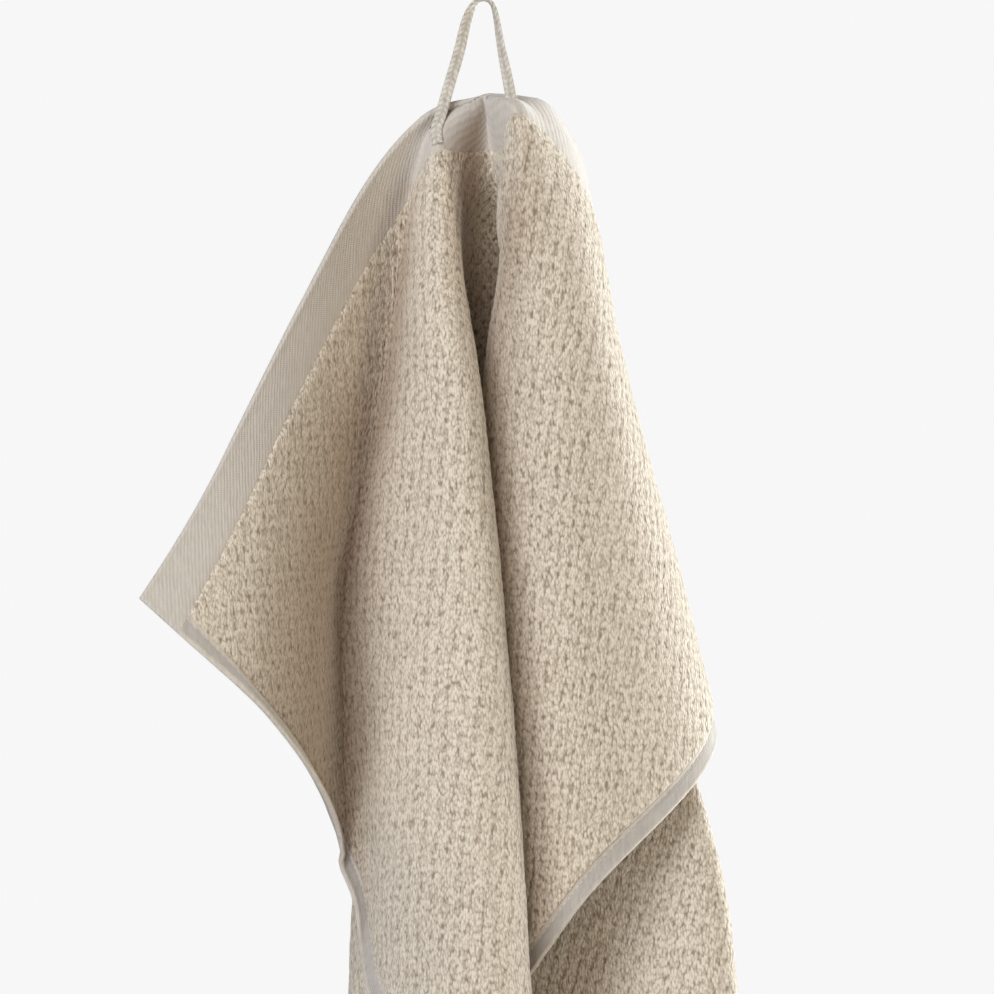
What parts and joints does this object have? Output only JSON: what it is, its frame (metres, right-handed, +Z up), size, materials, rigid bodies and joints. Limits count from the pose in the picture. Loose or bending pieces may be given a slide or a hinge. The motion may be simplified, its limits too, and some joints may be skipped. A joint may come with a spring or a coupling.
{
  "type": "hand towel with hanging loop",
  "caption": "Hand towel of looped pile with flat-woven bands, hung by a tape loop at the middle of its heading and falling in soft folds.",
  "frame": {"origin": "inside the top of the tape loop, where a hook or peg holds it", "axes": "+Z up, along the towel's length; -Y towards the viewer of the picture; +X to the viewer's right"},
  "size_m": [0.2706, 0.1856, 0.778],
  "materials": {
    "terry": "undyed beige cotton with a short looped pile, smooth twill in the bands and side hems",
    "tape": "narrow woven cotton tape, grey beige"
  },
  "bodies": {
    "root": {"hand_towel": "terry", "hanging_loop": "tape"}
  },
  "joints": []
}
